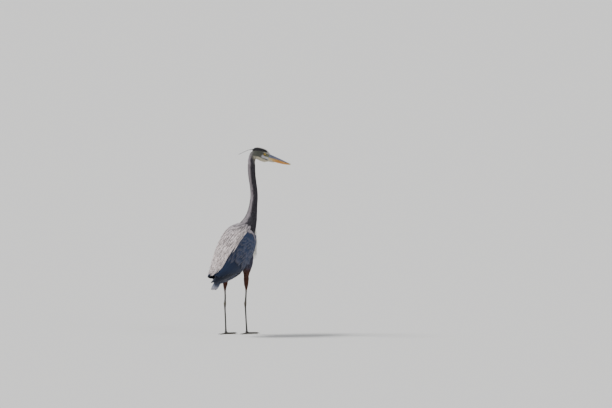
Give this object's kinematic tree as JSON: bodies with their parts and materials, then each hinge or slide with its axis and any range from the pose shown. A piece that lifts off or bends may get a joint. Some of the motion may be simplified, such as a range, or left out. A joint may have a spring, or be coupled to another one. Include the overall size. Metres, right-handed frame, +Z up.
{
  "type": "great blue heron",
  "caption": "Life-size still model of a great blue heron standing with one foot ahead, neck upright and head turned to its right.",
  "frame": {"origin": "on the floor under the soles, at the middle of the bird's box seen from above", "axes": "+Z up, the body heads along -Y, +X is the bird's left"},
  "size_m": [0.2855, 0.5609, 1.1481],
  "materials": {
    "head_feathers": "short soft feathers, white face and throat, black over the eye",
    "upper_bill_horn": "worn horn, dusky blue-grey ridge shading to yellow",
    "lower_bill_horn": "worn horn, dull orange-yellow",
    "eye": "wet, clear over a yellow iris and black pupil",
    "black_plume": "long narrow feather, soft sheen",
    "neck_feathers": "short soft feathers, mauve-grey with a streaked foreneck",
    "foreneck_plume": "long narrow loose feathers, greyish white",
    "body_feathers": "overlapping blue-grey feathers",
    "pale_plume": "long narrow loose feathers, silver-grey",
    "flight_feathers": "long stiff slate-blue vanes with dark shafts",
    "tail_feathers": "long stiff blue-grey vanes",
    "thigh_feathers": "short dense rufous feathers",
    "leg_skin": "dark scaled skin, dull",
    "claw": "dark horn, low sheen"
  },
  "bodies": {
    "root": {"head": "head_feathers", "upper_bill": "upper_bill_horn", "lower_bill": "lower_bill_horn", "eye_left": "eye", "eye_right": "eye", "crest_plume_left": "black_plume", "crest_plume_right": "black_plume", "neck_upper": "neck_feathers", "neck_middle": "neck_feathers", "neck_lower": "neck_feathers", "neck_base": "neck_feathers", "foreneck_plumes": "foreneck_plume", "trunk": "body_feathers", "wing_left_coverts": "body_feathers", "wing_right_coverts": "body_feathers", "scapulars_left": "pale_plume", "scapulars_right": "pale_plume", "wing_left_secondaries": "flight_feathers", "wing_right_secondaries": "flight_feathers", "wing_left_primaries": "flight_feathers", "wing_right_primaries": "flight_feathers", "tail": "tail_feathers", "thigh_left": "thigh_feathers", "thigh_right": "thigh_feathers", "shank_left": "leg_skin", "shank_right": "leg_skin", "tarsus_left": "leg_skin", "tarsus_right": "leg_skin", "toe_left_inner": "leg_skin", "toe_left_middle": "leg_skin", "toe_left_outer": "leg_skin", "toe_left_hind": "leg_skin", "toe_right_inner": "leg_skin", "toe_right_middle": "leg_skin", "toe_right_outer": "leg_skin", "toe_right_hind": "leg_skin", "claw_left_inner": "claw", "claw_left_middle": "claw", "claw_left_outer": "claw", "claw_left_hind": "claw", "claw_right_inner": "claw", "claw_right_middle": "claw", "claw_right_outer": "claw", "claw_right_hind": "claw"}
  },
  "joints": []
}
